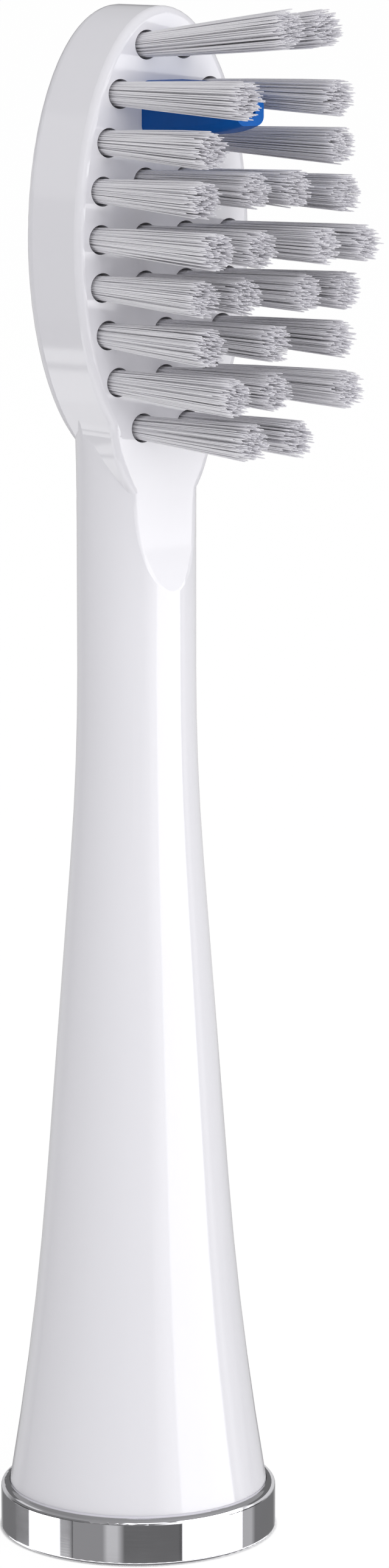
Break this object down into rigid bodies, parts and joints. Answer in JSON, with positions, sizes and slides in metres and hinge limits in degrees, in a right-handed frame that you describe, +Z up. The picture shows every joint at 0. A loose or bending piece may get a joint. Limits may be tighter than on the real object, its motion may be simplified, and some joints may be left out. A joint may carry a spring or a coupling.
{
  "type": "electric toothbrush head",
  "caption": "Replacement head for an electric toothbrush: hollow flared neck with a metal base ring, an oval paddle of bristle tufts and a water jet tip.",
  "frame": {"origin": "centre of the base ring's lower face", "axes": "+Z up the neck to the paddle's top, -Y the way the bristles point, X across the paddle"},
  "size_m": [0.0162, 0.0233, 0.089],
  "materials": {
    "white_plastic": "gloss",
    "chrome_trim": "polished",
    "blue_tip": "satin",
    "bristle_nylon": "satin",
    "socket_plastic": "moulded",
    "spring_steel": "brushed",
    "seal_rubber": "matt",
    "anchor_brass": "drawn"
  },
  "bodies": {
    "root": {"base_ring": "chrome_trim", "brush_body": "white_plastic", "drive_socket": "socket_plastic", "nozzle": "blue_tip", "shaft_clip": "spring_steel", "shaft_seal": "seal_rubber", "tuft_anchors": "anchor_brass", "tuft_r1_left": "bristle_nylon", "tuft_r1_right": "bristle_nylon", "tuft_r2_left": "bristle_nylon", "tuft_r2_right": "bristle_nylon", "tuft_r3_left": "bristle_nylon", "tuft_r3_right": "bristle_nylon", "tuft_r4_inner_left": "bristle_nylon", "tuft_r4_inner_right": "bristle_nylon", "tuft_r4_left": "bristle_nylon", "tuft_r4_right": "bristle_nylon", "tuft_r5_inner_left": "bristle_nylon", "tuft_r5_inner_right": "bristle_nylon", "tuft_r5_left": "bristle_nylon", "tuft_r5_right": "bristle_nylon", "tuft_r6_inner_left": "bristle_nylon", "tuft_r6_inner_right": "bristle_nylon", "tuft_r6_left": "bristle_nylon", "tuft_r6_right": "bristle_nylon", "tuft_r7_left": "bristle_nylon", "tuft_r7_middle": "bristle_nylon", "tuft_r7_right": "bristle_nylon", "tuft_r8_left": "bristle_nylon", "tuft_r8_middle": "bristle_nylon", "tuft_r8_right": "bristle_nylon", "tuft_r9_left": "bristle_nylon", "tuft_r9_right": "bristle_nylon"}
  },
  "joints": []
}
